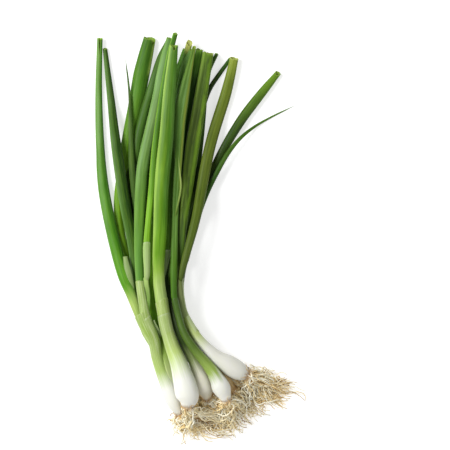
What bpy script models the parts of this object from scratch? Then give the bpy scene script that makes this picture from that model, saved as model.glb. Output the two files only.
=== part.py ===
"""A bunch of eight spring onions lying on a surface: roots towards -Y, cut leaf tips towards +Y, +Z up.

Each onion is a bulb with its shank, two to four hollow leaves and a tuft of roots. Shanks and leaves are
tapering sweeps along routes seen from above. Their heights aren't given: each one is laid over what lies
there already, as a real bunch piles up. The routes, widths and other lengths below are in millimetres.
"""

import math
import random

import bmesh
import bpy
import numpy as np
from mathutils import Vector

MM = 0.001

# Clearances and the pile
LAYING_GAP = 0.6        # between a piece and what it lies on
FACE_GAP = 0.3          # between two faces that meet
STIFFNESS = 18.0        # half the length over which a piece spreads a step in what lies under it
FLAT_SPOT = 0.6         # an underside that comes this close to the surface is pressed flat on it
UNDERSIDE = 0.9         # how far down a section its underside starts, over its half height
SAMPLE = 2.0            # spacing of the points at which pieces are kept clear of each other
CURVE_STEPS = 24        # points read from a route's smooth curve between two of its own points

# Sections
SHANK_SIDES = 12
LEAF_SIDES = 8
SHANK_ASPECT = 0.95     # height over width
LEAF_ASPECT = 0.72
SHANK_STOPS = [0, 1.5, 4, 7.5, 12, 18, 26, 36, 48]   # first rings, from the root plate
RING_STEP = 15.0        # spacing of the rings after those
COLLAR_STEP = 0.92      # a leaf's width where it leaves its sheath, over the sheath's width

# Cut leaf ends
WALL = 0.9
HOLLOW_DEPTH = 7.0
CUT_SLANT = 0.5         # how far the cut leans back, over the section's height
NARROWEST_HOLLOW = 3.4  # a leaf end narrower than this is closed

# Roots
CORE_PROFILE = ((FACE_GAP, 0.85), (1.8, 0.8), (3.4, 0.45))   # distance from the root plate, share of its radius
STRANDS = 13
STRAND_STOPS = 5
STRAND_RADIUS = (0.62, 0.45)
STRAND_START = 1.6      # from the root plate, inside the core
ROOT_GAP = 0.5          # between strands of different tufts, and from a strand to any other piece
ROOT_PULL = Vector((0.25, -0.55, 0))   # the tufts were all brushed this way
LONGEST_ROOT = {1: 23, 2: 27, 3: 30, 4: 34, 5: 44, 6: 32, 7: 42, 8: 20}
SHORTEST_ROOT = 0.6     # over the longest of the same tuft
STRAND_SPREAD = math.radians(58)
STRAND_TRIES = 80
ROOT_SEED = 11
GOLDEN_ANGLE = math.pi * (3 - math.sqrt(5))

# Bulbs and shanks: (x, y, width) from the root plate up to the collar where the first leaf starts.
SHANKS = {
    1: [(-8, -139, 6.5), (-10, -134, 10), (-13, -128, 12.5), (-19, -112, 11.5), (-25, -96, 9.5), (-28, -80, 9.5),
        (-34, -64, 8), (-37, -48, 7.5), (-39, -33, 7.5)],
    2: [(-1, -132, 10), (-0.5, -126, 17), (-2, -120, 19), (-4, -112, 17.5), (-9, -96, 13.5), (-16, -78, 11),
        (-20, -60, 10), (-24, -36, 10)],
    3: [(14, -126, 8), (12, -118, 14.5), (8, -106, 11), (2, -93, 9), (-8, -72, 8), (-15, -48, 7),
        (-18, -30, 7)],
    4: [(30, -127, 8), (26, -118, 14.5), (22, -110, 12), (17, -102, 9.5), (7, -90, 7.5), (-2, -78, 6.5),
        (-7, -64, 5.5), (-12, -44, 5)],
    5: [(46, -107, 9.5), (41, -105, 14.5), (34, -101, 16), (28, -97, 14.5), (21, -93, 12), (10, -82, 9),
        (2, -70, 7), (-4, -56, 5.5), (-6, -44, 5.5)],
    6: [(34, -121, 7), (27, -113, 12), (22, -106, 11), (16, -100, 9), (5, -86, 7), (-4, -68, 6),
        (-8, -46, 6)],
    7: [(46, -118, 7), (39, -111, 13), (31, -104, 11), (14, -92, 8.5), (3, -79, 7), (-3, -63, 6),
        (-6, -44, 5.5)],
    8: [(-1, -130, 6), (-3, -125, 10), (-7, -117, 11), (-12, -108, 10), (-17, -99, 9), (-24, -80, 8),
        (-34, -61, 7.5), (-41, -49, 7)],
}

# Leaves: (x, y, width) from the base to the tip. Leaf a carries its shank on past the collar; the others
# start narrow beside the shank, where their sheath joins it.
LEAVES = {
    "1_a": [(-40, -16, 7.5), (-40, 0, 8), (-39, 32, 9.5), (-37, 60, 9.5), (-33, 80, 9), (-26, 112, 8.5),
            (-21, 140, 7.5), (-16, 162, 4.5)],
    "1_b": [(-35, -36, 4), (-34.5, -24, 6), (-34, -6, 6), (-32.5, 12, 6), (-29.5, 44, 6.5), (-27, 76, 6),
            (-22, 112, 5.5), (-16, 146, 5), (-11, 165, 4)],
    "1_c": [(-35, -76, 3.5), (-39, -62, 6.5), (-44.5, -46, 8), (-51.5, -30, 9), (-60.5, 0, 9.5), (-69, 42, 9),
            (-72, 80, 7), (-73, 120, 5.5), (-72, 162, 4.5)],
    "2_a": [(-25, -16, 10), (-24, 4, 11), (-22, 44, 11.8), (-18, 84, 11.5), (-15, 124, 9.8), (-12, 155, 6.8)],
    "2_b": [(-20, -30, 3), (-18, -12, 5.5), (-16.5, 2, 6.5), (-14.5, 32, 6.5), (-12, 76, 6.5), (-9, 112, 6),
            (-3, 140, 5.5), (2, 152, 4.5)],
    "3_a": [(-19, -8, 7), (-19, 20, 7.5), (-18, 50, 7.5), (-17, 80, 8), (-11, 124, 8), (-2, 153, 7)],
    "3_b": [(-16, -36, 3), (-13, -4, 5.5), (-13, 40, 6), (-12, 75, 6), (-10, 105, 6), (-6, 130, 5.5),
            (0, 158, 5)],
    "4_a": [(-12, -16, 5.5), (-11, 24, 5.5), (-9, 60, 6.5), (-8, 88, 9.5), (-6, 108, 10.5), (-1, 132, 6.5),
            (4, 154, 3)],
    "4_b": [(-11, 19, 1.2), (-8, 34, 1.6), (-6, 48, 1.6), (-8, 60, 1)],
    "5_a": [(-7, -24, 5), (-5, 12, 6.5), (-1, 48, 10), (2, 72, 11.5), (6, 96, 11), (10, 120, 10.5),
            (15, 150, 9)],
    "5_b": [(-8, -38, 3.5), (-5, -22, 6.5), (1, 2, 8), (6, 24, 9.5), (14, 64, 9), (20, 88, 9.2), (30, 120, 8.8),
            (36, 146, 7)],
    "6_a": [(-9, -16, 6), (-8, 20, 6), (-4, 60, 6.5), (0, 96, 7), (4, 128, 7), (8, 153, 6)],
    "6_b": [(-7, -20, 3), (-4, 10, 4.5), (5, 48, 5), (10, 90, 5), (14, 130, 4), (22, 150, 3)],
    "7_a": [(-3, -16, 5.5), (6, 18, 6), (15, 47, 6.5), (27, 72, 7.2), (42, 97, 7.8), (58, 118, 7.2),
            (71, 134, 4.8)],
    "7_b": [(-8, -14, 3), (-4, 16, 4.5), (2, 60, 4.5), (8, 96, 4.5), (15, 119, 4), (25, 135, 3.5),
            (33, 146, 3)],
    "7_c": [(-4, -24, 3), (2, 0, 4), (11, 30, 4), (22, 54, 4), (34, 74, 3.5), (48, 88, 2.5), (64, 98, 1.6),
            (80, 106, 1)],
    "8_a": [(-42, -30, 7.5), (-46, 0, 8.5), (-52, 32, 9), (-58, 72, 8.5), (-63, 112, 6.2), (-68, 154, 3.8)],
    "8_b": [(-40, -58, 3), (-44, -40, 5), (-50, -14, 5.5), (-55, 4, 7), (-57, 30, 8), (-51, 72, 10),
            (-44, 104, 12), (-38, 136, 13), (-32, 162, 10)],
    "8_c": [(-39, -20, 3), (-40, 0, 4.5), (-44, 36, 5), (-46, 60, 5), (-47, 90, 3.5), (-48, 118, 2),
            (-51, 142, 1)],
    "8_d": [(-37, -42, 3), (-38, -14, 6), (-41, 20, 7), (-43, 56, 7), (-40, 86, 7.5), (-31, 120, 7),
            (-22, 150, 5.5), (-17, 161, 3.5)],
}

# From the bottom of the pile to its top; a number stands for that onion's shank with its leaf a.
LAYING_ORDER = ["7", "7_b", "7_c", "6", "6_b", "3", "3_b", "8_b", "8_d", "8_c", "8", "5", "5_b",
                "1_c", "1", "1_b", "2_b", "4", "4_b", "2"]

# How deep a leaf's upper side is creased, over half its height.
CREASES = {"2_a": 0.25, "4_a": 0.7, "5_a": 0.45, "8_b": 0.3}

SHANK_COLOUR = (0.80, 0.84, 0.62)
ROOT_COLOUR = (0.66, 0.55, 0.33)
MID_GREEN = (0.07, 0.21, 0.03)
LEAF_COLOURS = {"1_b": (0.22, 0.40, 0.05), "4_a": (0.13, 0.22, 0.04), "5_a": (0.12, 0.19, 0.03),
                "5_b": (0.16, 0.27, 0.04), "7_b": (0.02, 0.07, 0.01)}


def clear_scene():
    for obj in list(bpy.data.objects):
        bpy.data.objects.remove(obj, do_unlink=True)


def material(name, colour, roughness):
    mat = bpy.data.materials.new(name)
    mat.use_nodes = True
    shader = mat.node_tree.nodes["Principled BSDF"]
    shader.inputs["Base Color"].default_value = (*colour, 1)
    shader.inputs["Roughness"].default_value = roughness
    return mat


def add_object(name, mesh_data, mat):
    mesh = bpy.data.meshes.new(name)
    mesh_data.to_mesh(mesh)
    mesh_data.free()
    mesh.materials.append(mat)
    mesh.shade_smooth()
    mesh.set_sharp_from_angle(angle=math.radians(50))
    obj = bpy.data.objects.new(name, mesh)
    bpy.context.scene.collection.objects.link(obj)
    return obj


# Routes and the pile

def smooth_curve(points):
    """A Catmull-Rom curve through the points, as rows of x, y and half width, closely spaced."""
    rows = np.array(points, float)
    rows[:, 2] /= 2
    padded = np.vstack([2 * rows[0] - rows[1], rows, 2 * rows[-1] - rows[-2]])
    padded[0, 2], padded[-1, 2] = rows[0, 2], rows[-1, 2]
    curve = []
    for p0, p1, p2, p3 in zip(padded, padded[1:], padded[2:], padded[3:]):
        for t in np.linspace(0, 1, CURVE_STEPS, endpoint=False):
            curve.append(0.5 * (2 * p1 + (p2 - p0) * t + (2 * p0 - 5 * p1 + 4 * p2 - p3) * t ** 2
                                + (3 * p1 - p0 - 3 * p2 + p3) * t ** 3))
    curve.append(rows[-1])
    return np.array(curve)


def arc_lengths(rows):
    steps = np.linalg.norm(np.diff(rows[:, :2], axis=0), axis=1)
    return np.concatenate([[0], np.cumsum(steps)])


def read_at(rows, lengths, stops):
    return np.column_stack([np.interp(stops, lengths, column) for column in rows.T])


def ring_stops(first_stops, end):
    """The given first stops, then even steps to the end."""
    start = first_stops[-1]
    count = max(1, round((end - start) / RING_STEP))
    return list(first_stops) + list(np.linspace(start, end, count + 1)[1:])


def samples_between(rings):
    """Points every SAMPLE along the straight runs between rings, with each one's place on the way."""
    lengths = arc_lengths(rings)
    stops = np.linspace(0, lengths[-1], max(3, round(lengths[-1] / SAMPLE)))
    return read_at(rings, lengths, stops), stops, lengths


def needed_heights(samples, aspect, pile):
    """The least centre height at each sample that clears the surface and every piece in the pile."""
    need = samples[:, 2] * aspect
    for other, other_aspect in pile:
        reach = samples[:, 2][:, None] + other[:, 2][None, :] + LAYING_GAP
        apart = np.linalg.norm(samples[:, None, :2] - other[None, :, :2], axis=2)
        rise = max(aspect, other_aspect) * np.sqrt(np.maximum(reach ** 2 - apart ** 2, 0))
        over = np.where(apart < reach, other[:, 3][None, :] + rise, 0)
        need = np.maximum(need, over.max(axis=1))
    return need


def lay(rings, aspect, pile):
    """Heights for the rings, so that the piece lies smoothly on the pile, and its samples for later ones."""
    samples, stops, lengths = samples_between(rings)
    need = needed_heights(samples, aspect, pile)
    spacing = stops[1] - stops[0]
    reach = max(1, round(STIFFNESS / spacing))
    padded = np.pad(need, 2 * reach, mode="edge")
    highest = np.array([padded[i:i + 2 * reach + 1].max() for i in range(len(need) + 2 * reach)])
    weights = np.hanning(2 * reach + 3)[1:-1]
    smooth = np.convolve(highest, weights / weights.sum(), mode="valid")
    heights = np.interp(lengths, stops, smooth)
    for _ in range(8):
        short = need - np.interp(stops, lengths, heights)
        for i in np.nonzero(short > 0)[0]:
            k = min(np.searchsorted(lengths, stops[i], side="right") - 1, len(heights) - 2)
            heights[k:k + 2] += short[i] * 0.6
            short = need - np.interp(stops, lengths, heights)
    laid = np.column_stack([samples, np.interp(stops, lengths, heights)])
    pile.append((laid, aspect))
    return np.column_stack([rings, heights])


# Sweeps

def directions(centres):
    """A unit vector along the way at each centre."""
    ahead = np.vstack([centres[1:], centres[-1:]])
    behind = np.vstack([centres[:1], centres[:-1]])
    return [Vector(way).normalized() for way in ahead - behind]


def add_ring(mesh, centre, along, half_width, half_height, sides, crease=0.0, slant=0.0):
    """One ring of vertices across the way, on an ellipse whose top may be creased and whose plane may lean."""
    across = along.cross(Vector((0, 0, 1))).normalized()
    up = across.cross(along).normalized()
    turn = 0.5 if crease == 0 and sides == SHANK_SIDES else 0.0
    ring = []
    for i in range(sides):
        angle = 2 * math.pi * (i + turn) / sides
        lift = math.sin(angle) * half_height
        if crease and abs(math.sin(angle) - 1) < 1e-6:
            lift *= 1 - crease
        point = centre + across * math.cos(angle) * half_width + up * lift - along * lift * slant
        if point.z < FLAT_SPOT and lift < -UNDERSIDE * half_height:
            point.z = 0
        ring.append(mesh.verts.new(point))
    return ring


def bridge(mesh, first, second):
    for i in range(len(first)):
        j = (i + 1) % len(first)
        mesh.faces.new((first[i], first[j], second[j], second[i]))


def cap(mesh, ring, centre):
    """A fan over the ring's inside; the caller gives the ring in the order that faces out."""
    middle = mesh.verts.new(centre)
    for i in range(len(ring)):
        mesh.faces.new((ring[i], ring[(i + 1) % len(ring)], middle))


def ring_centre(ring):
    return sum((vert.co for vert in ring), Vector()) / len(ring)


def scale_to_metres(mesh):
    bmesh.ops.triangulate(mesh, faces=[face for face in mesh.faces if len(face.verts) > 3])
    bmesh.ops.recalc_face_normals(mesh, faces=mesh.faces)
    bmesh.ops.scale(mesh, vec=(MM, MM, MM), verts=mesh.verts)


def sweep(rings, ways, aspect, sides, crease=0.0, hollow_end=False):
    """A closed solid along the rings, whose far end may be an open, leaning cut."""
    mesh = bmesh.new()
    centres = rings[:, [0, 1, 3]]
    loops = []
    for k, (centre, along) in enumerate(zip(centres, ways)):
        half = rings[k, 2]
        lean = CUT_SLANT if hollow_end and k == len(rings) - 1 else 0.0
        loops.append(add_ring(mesh, Vector(centre), along, half, half * aspect, sides, crease, lean))
    for first, second in zip(loops, loops[1:]):
        bridge(mesh, first, second)
    cap(mesh, loops[0][::-1], ring_centre(loops[0]))
    last = loops[-1]
    if hollow_end:
        half = rings[-1, 2] - WALL
        half_height = max(rings[-1, 2] * aspect - WALL, 0.4)
        end, along = Vector(centres[-1]), ways[-1]
        rim = add_ring(mesh, end, along, half, half_height, sides, crease, CUT_SLANT)
        floor = add_ring(mesh, end - along * HOLLOW_DEPTH, along, half * 0.7, half_height * 0.7, sides, crease)
        bridge(mesh, last, rim)
        bridge(mesh, rim, floor)
        last = floor
    cap(mesh, last, ring_centre(last))
    scale_to_metres(mesh)
    return mesh


# Shanks and leaves

def stalk(number, pile):
    """An onion's shank and its leaf a, one run split at the collar, each as rings and their directions."""
    shank_points = SHANKS[number]
    curve = smooth_curve(shank_points + LEAVES[f"{number}_a"])
    lengths = arc_lengths(curve)
    collar = lengths[CURVE_STEPS * (len(shank_points) - 1)]
    shank_stops = ring_stops([stop for stop in SHANK_STOPS if stop < collar - RING_STEP / 2], collar)
    leaf_stops = ring_stops([collar + FACE_GAP], lengths[-1])
    rings = lay(read_at(curve, lengths, shank_stops + leaf_stops), SHANK_ASPECT, pile)
    ways = directions(rings[:, [0, 1, 3]])
    first = len(shank_stops)
    ways[first - 1] = ways[first] = (ways[first - 1] + ways[first]).normalized()
    rings[first, 2] *= COLLAR_STEP
    return (rings[:first], ways[:first]), (rings[first:], ways[first:])


def side_leaf(name, pile):
    curve = smooth_curve(LEAVES[name])
    lengths = arc_lengths(curve)
    stops = ring_stops([0, 5], lengths[-1])
    rings = lay(read_at(curve, lengths, stops), LEAF_ASPECT, pile)
    return rings, directions(rings[:, [0, 1, 3]])


def add_leaf(name, rings, ways, mat):
    hollow = 2 * rings[-1, 2] > NARROWEST_HOLLOW
    mesh = sweep(rings, ways, LEAF_ASPECT, LEAF_SIDES, CREASES.get(name, 0.0), hollow)
    add_object(f"onion_{name[0]}_leaf_{name[2]}", mesh, mat)


# Roots

def strand_points(start, heading, length, rest_height, rng):
    """A root's way: out along its heading, drooping to where it rests, with a slow wave to the side."""
    side = heading.cross(Vector((0, 0, 1))).normalized()
    swing, phase = rng.uniform(1.5, 4.5), rng.uniform(0, 2 * math.pi)
    points = []
    for k in range(STRAND_STOPS + 1):
        t = k / STRAND_STOPS
        point = start + heading * length * t
        point += side * swing * t * (math.sin(phase + 5 * t) - math.sin(phase) * (1 - t))
        droop = t * t * (3 - 2 * t)
        point.z += (rest_height - point.z) * min(1.0, 1.6 * droop)
        points.append(point)
    return points


def strand_samples(points, radius):
    rows = []
    for first, second in zip(points, points[1:]):
        for t in (0, 0.25, 0.5, 0.75):
            rows.append((*first.lerp(second, t), radius))
    rows.append((*points[-1], radius))
    return np.array(rows)


def strand_mesh(points):
    mesh = bmesh.new()
    ways = directions(np.array([tuple(point) for point in points]))
    loops = []
    for k, (point, along) in enumerate(zip(points, ways)):
        t = k / STRAND_STOPS
        radius = STRAND_RADIUS[0] * (1 - t) + STRAND_RADIUS[1] * t
        loops.append(add_ring(mesh, point, along, radius, radius, 3))
    for first, second in zip(loops, loops[1:]):
        bridge(mesh, first, second)
    mesh.faces.new(loops[0][::-1])
    mesh.faces.new(loops[-1])
    scale_to_metres(mesh)
    return mesh


def is_clear(samples, plate, core_radius, number, obstacles):
    """Whether no sample, as a ball, touches a ball of another node, apart from its own onion at the core."""
    apart = np.linalg.norm(samples[:, None, :3] - obstacles[None, :, :3], axis=2)
    touching = apart < samples[:, 3][:, None] + obstacles[:, 3][None, :] + ROOT_GAP
    at_core = np.linalg.norm(samples[:, :3] - np.array(plate), axis=1) < core_radius + CORE_PROFILE[1][0]
    touching[np.ix_(at_core, obstacles[:, 4] == number)] = False
    return not touching.any()


def root_core(plate, outward, radius):
    """A small dome on the root plate, which the strands grow from."""
    mesh = bmesh.new()
    loops = []
    for distance, share in CORE_PROFILE:
        centre = plate + outward * distance
        loops.append(add_ring(mesh, centre, outward, radius * share, radius * share, LEAF_SIDES))
    for first, second in zip(loops, loops[1:]):
        bridge(mesh, first, second)
    cap(mesh, loops[0][::-1], ring_centre(loops[0]))
    cap(mesh, loops[-1], ring_centre(loops[-1]))
    scale_to_metres(mesh)
    return mesh


def root_plate(shank):
    """The root plate's centre and the way that it faces."""
    plate, inside = Vector(shank[0, [0, 1, 3]]), Vector(shank[2, [0, 1, 3]])
    return plate, (plate - inside).normalized()


def add_roots(number, shank, obstacles, mat, rng):
    """A tuft: strands spread evenly round the plate's own direction, fused to the core."""
    plate, outward = root_plate(shank)
    pulled = (outward + ROOT_PULL).normalized()
    across = pulled.cross(Vector((0, 0, 1))).normalized()
    up = across.cross(pulled)
    radius = shank[0, 2]
    core = add_object(f"onion_{number}_roots", root_core(plate, outward, radius), mat)
    placed = []
    strands = bpy.data.collections.new(f"strands_{number}")
    bpy.context.scene.collection.children.link(strands)
    for i in range(STRANDS):
        for attempt in range(STRAND_TRIES):
            turn = i * GOLDEN_ANGLE + rng.uniform(-0.4, 0.4)
            lean = STRAND_SPREAD * math.sqrt((i + 0.5) / STRANDS) * rng.uniform(0.7, 1.1)
            off_axis = across * math.cos(turn) + up * math.sin(turn)
            heading = pulled * math.cos(lean) + off_axis * math.sin(lean)
            start = plate + outward * STRAND_START + off_axis * radius * 0.5
            length = LONGEST_ROOT[number] * rng.uniform(SHORTEST_ROOT, 1) * (1 - 0.5 * attempt / STRAND_TRIES)
            rest_height = rng.uniform(0.7, 7.0)
            points = strand_points(start, heading, length, rest_height, rng)
            samples = strand_samples(points, STRAND_RADIUS[0])
            above_surface = min(point.z for point in points) > STRAND_RADIUS[0]
            if above_surface and is_clear(samples, plate, radius, number, obstacles):
                strand = add_object(f"strand_{number}_{i}", strand_mesh(points), mat)
                bpy.context.scene.collection.objects.unlink(strand)
                strands.objects.link(strand)
                placed.append(owned(samples, number))
                break
    fuse(core, strands)
    return np.vstack(placed)


def fuse(core, strands):
    """One Boolean union of the core with the collection, applied, and the strands removed."""
    union = core.modifiers.new("strands", "BOOLEAN")
    union.operation = "UNION"
    union.operand_type = "COLLECTION"
    union.collection = strands
    union.solver = "EXACT"
    graph = bpy.context.evaluated_depsgraph_get()
    fused = bpy.data.meshes.new_from_object(core.evaluated_get(graph), depsgraph=graph)
    core.modifiers.remove(union)
    core.data = fused
    for strand in list(strands.objects):
        bpy.data.objects.remove(strand, do_unlink=True)
    bpy.data.collections.remove(strands)


# The whole bunch

def owned(balls, number):
    """Balls of x, y, z and radius, with the number of the onion that they belong to."""
    return np.column_stack([balls, np.full(len(balls), number)])


def obstacles_to_roots(pile, shanks):
    """Every laid piece and root core as balls, which the strands keep clear of."""
    balls = [owned(samples[:, [0, 1, 3, 2]], int(entry[0])) for entry, (samples, _) in zip(LAYING_ORDER, pile)]
    for number, shank in shanks.items():
        plate, outward = root_plate(shank)
        balls.append(owned(np.array([(*(plate + outward * CORE_PROFILE[1][0]), shank[0, 2])]), number))
    return np.vstack(balls)


def move_origin_to_base():
    """Puts the origin at the middle of the bunch's box, on the surface."""
    corners = [vert.co for obj in bpy.data.objects for vert in obj.data.vertices]
    middle_x = (min(c.x for c in corners) + max(c.x for c in corners)) / 2
    middle_y = (min(c.y for c in corners) + max(c.y for c in corners)) / 2
    for obj in bpy.data.objects:
        for vert in obj.data.vertices:
            vert.co.x -= middle_x
            vert.co.y -= middle_y


def main():
    clear_scene()
    shank_mat = material("shank", SHANK_COLOUR, 0.4)
    root_mat = material("roots", ROOT_COLOUR, 0.8)
    pile, shanks = [], {}
    for entry in LAYING_ORDER:
        leaf_name = entry if "_" in entry else f"{entry}_a"
        leaf_mat = material(f"leaf_{leaf_name}", LEAF_COLOURS.get(leaf_name, MID_GREEN), 0.45)
        if "_" in entry:
            add_leaf(leaf_name, *side_leaf(entry, pile), leaf_mat)
            continue
        number = int(entry)
        shank, leaf = stalk(number, pile)
        shanks[number] = shank[0]
        add_object(f"onion_{number}_bulb", sweep(*shank, SHANK_ASPECT, SHANK_SIDES), shank_mat)
        add_leaf(leaf_name, *leaf, leaf_mat)
    rng = random.Random(ROOT_SEED)
    obstacles = obstacles_to_roots(pile, shanks)
    for number, shank in shanks.items():
        tuft = add_roots(number, shank, obstacles, root_mat, rng)
        obstacles = np.vstack([obstacles, tuft])
    move_origin_to_base()


main()
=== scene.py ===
"""Looks of the spring onion bunch: every CAD solid is replaced by a fine piece along the same centreline.

The frame is in metres, +Z up, with the roots towards -Y. Each piece's centreline and widths are read back
from its CAD solid's rings, so that the fine piece lies where the solid lies. Tables are in millimetres and
radians, with colours as 0 to 255 display values. They name a shank "2" and a leaf "2_a".
"""

import math
import random

import bmesh
import bpy
import numpy as np
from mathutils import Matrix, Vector


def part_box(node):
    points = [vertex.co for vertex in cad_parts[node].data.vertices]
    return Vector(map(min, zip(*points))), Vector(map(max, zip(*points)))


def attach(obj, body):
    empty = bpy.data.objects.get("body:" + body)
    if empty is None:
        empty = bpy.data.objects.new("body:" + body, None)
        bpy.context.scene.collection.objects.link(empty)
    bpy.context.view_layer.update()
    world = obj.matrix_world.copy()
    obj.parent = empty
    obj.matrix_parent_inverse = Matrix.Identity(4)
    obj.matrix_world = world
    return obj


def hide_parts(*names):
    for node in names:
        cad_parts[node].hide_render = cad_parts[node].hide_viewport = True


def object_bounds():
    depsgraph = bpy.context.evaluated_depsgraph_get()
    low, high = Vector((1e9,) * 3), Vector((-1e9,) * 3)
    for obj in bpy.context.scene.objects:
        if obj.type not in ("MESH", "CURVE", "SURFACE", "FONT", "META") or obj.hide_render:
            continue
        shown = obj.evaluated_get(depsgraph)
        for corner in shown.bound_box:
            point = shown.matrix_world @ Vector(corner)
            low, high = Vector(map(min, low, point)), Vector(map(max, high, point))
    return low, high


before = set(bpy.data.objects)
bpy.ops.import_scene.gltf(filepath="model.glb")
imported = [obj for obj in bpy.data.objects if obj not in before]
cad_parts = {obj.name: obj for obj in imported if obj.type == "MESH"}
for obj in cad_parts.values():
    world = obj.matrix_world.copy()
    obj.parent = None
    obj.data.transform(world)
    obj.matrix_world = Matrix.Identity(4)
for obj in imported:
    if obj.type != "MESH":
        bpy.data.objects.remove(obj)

CAD_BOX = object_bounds()
MM = 0.001
BODY = "root"
UP = np.array([0.0, 0.0, 1.0])
LOWEST = (-math.inf, -math.inf, 0.05 * MM)   # no corner of a piece lies lower than this

# The CAD solids' sections
SHANK_SIDES = 12
LEAF_SIDES = 8
SHANK_FIT = 1 / math.cos(math.pi / SHANK_SIDES)   # its rings have their corners half a step off the axes

# Fineness
STEP = 1.0 * MM      # between the points of a path
SHANK_ROW = 0.9      # between the rings of a shank or sheath, in mm
LEAF_ROW = 1.2       # between the rings of a leaf or strip, in mm
SHANK_AROUND = 56
LEAF_AROUND = 36
SPLINE_STEPS = 12    # from one ring of a solid to the next

LEAF_LETTERS = {
    "1": "abc", "2": "ab", "3": "ab", "4": "ab", "5": "ab", "6": "ab", "7": "abc", "8": "abcd"}


# ---- centrelines read from the CAD solids

def flat_patches(mesh):
    """Sets of faces that lie side by side in one plane."""
    left = set(mesh.faces)
    while left:
        patch = [left.pop()]
        for face in patch:
            for edge in face.edges:
                for other in edge.link_faces:
                    if other in left and other.normal.dot(patch[0].normal) > 1 - 1e-5:
                        left.remove(other)
                        patch.append(other)
        yield patch


def base_ring(mesh, sides, near):
    """The corners of the end cap that is nearest to a point, be it flat or a fan round a centre corner."""
    rings = [set(neighbours(vert)) for vert in mesh.verts if len(vert.link_edges) == sides]
    for patch in flat_patches(mesh):
        own = set(patch)
        if sides - 2 <= len(patch) <= sides:
            rings.append({vert for face in patch for vert in face.verts
                          if not own.issuperset(vert.link_faces)})
    rings = [ring for ring in rings if len(ring) == sides]
    return min(rings, key=lambda ring: (sum((vert.co for vert in ring), Vector()) / sides - near).length)


def rings_of(node, sides, near):
    """The corners of each ring of a CAD sweep, from the end that is nearest to a point, as an array each."""
    mesh = bmesh.new()
    mesh.from_mesh(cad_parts[node].data)
    bmesh.ops.remove_doubles(mesh, verts=mesh.verts, dist=1e-6)
    mesh.normal_update()
    ring = base_ring(mesh, sides, near)
    rings, way = [], None
    seen = set(ring) | {vert for vert in mesh.verts if ring.issuperset(neighbours(vert))}
    while ring:
        rings.append(np.array([vert.co[:] for vert in ring]))
        following = {edge.other_vert(vert) for vert in ring for edge in vert.link_edges} - seen
        centre = rings[-1].mean(axis=0)
        if way is None and following:
            way = np.mean([vert.co[:] for vert in following], axis=0) - centre
        ring = sorted(following, key=lambda vert: (np.array(vert.co[:]) - centre) @ way)[:sides]
        seen.update(ring)
        if ring:
            way = np.mean([vert.co[:] for vert in ring], axis=0) - centre
    mesh.free()
    return rings


def neighbours(vert):
    return [edge.other_vert(vert) for edge in vert.link_edges]


def unit(rows):
    return rows / np.linalg.norm(rows, axis=-1, keepdims=True)


def distances(points):
    """How far each of a line of points lies along it."""
    return np.concatenate([[0], np.cumsum(np.linalg.norm(np.diff(points, axis=0), axis=1))])


class Path:
    """A smooth centreline with the half width and half height of the piece along it."""

    def __init__(self, centre, wide, high):
        self.centre, self.wide, self.high = centre, wide, high
        self.run = distances(centre)
        self.along = unit(np.gradient(centre, self.run, axis=0))
        self.across = unit(np.cross(self.along, UP))
        self.up = np.cross(self.across, self.along)

    @property
    def length(self):
        return self.run[-1]

    def at(self, run, name):
        """A row of the path's values at each distance, carried on straight past its ends."""
        values = getattr(self, name)
        run = np.asarray(run, float)
        inside = np.clip(run, 0, self.length)
        if values.ndim == 1:
            return np.interp(inside, self.run, values)
        read = np.stack([np.interp(inside, self.run, column) for column in values.T], axis=-1)
        if name == "centre":
            return read + (run - inside)[..., None] * self.at(inside, "along")
        return unit(read)


def smooth_rows(rows):
    """Catmull-Rom through the rows, whose first three columns are a point, read at even steps."""
    padded = np.vstack([2 * rows[0] - rows[1], rows, 2 * rows[-1] - rows[-2]])
    padded[0, 3:], padded[-1, 3:] = rows[0, 3:], rows[-1, 3:]
    knots = np.concatenate([[0], np.cumsum(np.sqrt(np.linalg.norm(np.diff(padded[:, :3], axis=0), axis=1)))])
    fine = []
    for k in range(1, len(padded) - 2):
        four, knot = padded[k - 1:k + 3], knots[k - 1:k + 3]
        for x in np.linspace(knot[1], knot[2], SPLINE_STEPS, endpoint=False):
            three = [((knot[i + 1] - x) * four[i] + (x - knot[i]) * four[i + 1]) / (knot[i + 1] - knot[i])
                     for i in range(3)]
            two = [((knot[i + 2] - x) * three[i] + (x - knot[i]) * three[i + 1]) / (knot[i + 2] - knot[i])
                   for i in range(2)]
            fine.append(((knot[2] - x) * two[0] + (x - knot[1]) * two[1]) / (knot[2] - knot[1]))
    fine.append(rows[-1])
    fine = np.array(fine)
    run = distances(fine[:, :3])
    stops = np.linspace(0, run[-1], max(4, round(run[-1] / STEP)))
    return np.column_stack([np.interp(stops, run, column) for column in fine.T])


def path_of(node, sides, near):
    """The path that a CAD sweep was made along, from its end that is nearest to a point."""
    rings = rings_of(node, sides, near)
    centres = np.array([ring.mean(axis=0) for ring in rings])
    steps = np.diff(centres, axis=0)
    turns = [k for k in range(1, len(steps))
             if steps[k] @ steps[k - 1] < 0 or np.linalg.norm(steps[k]) < 1e-5]
    if turns:   # a hollow end turns back into the leaf
        rings, centres = rings[:turns[0] + 1], centres[:turns[0] + 1]
    along = unit(np.gradient(centres, axis=0))
    across = unit(np.cross(along, UP))
    up = np.cross(across, along)
    fit = SHANK_FIT if sides == SHANK_SIDES else 1.0
    sizes = [[np.abs((ring - centre) @ way).max() * fit for ring, centre, way in zip(rings, centres, ways)]
             for ways in (across, up)]
    rows = smooth_rows(np.column_stack([centres, *sizes]))
    return Path(rows[:, :3], rows[:, 3], rows[:, 4])


def lowest_along(node):
    """The corner of a CAD node that is furthest towards the roots."""
    return min((vert.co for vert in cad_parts[node].data.vertices), key=lambda co: co.y)


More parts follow.
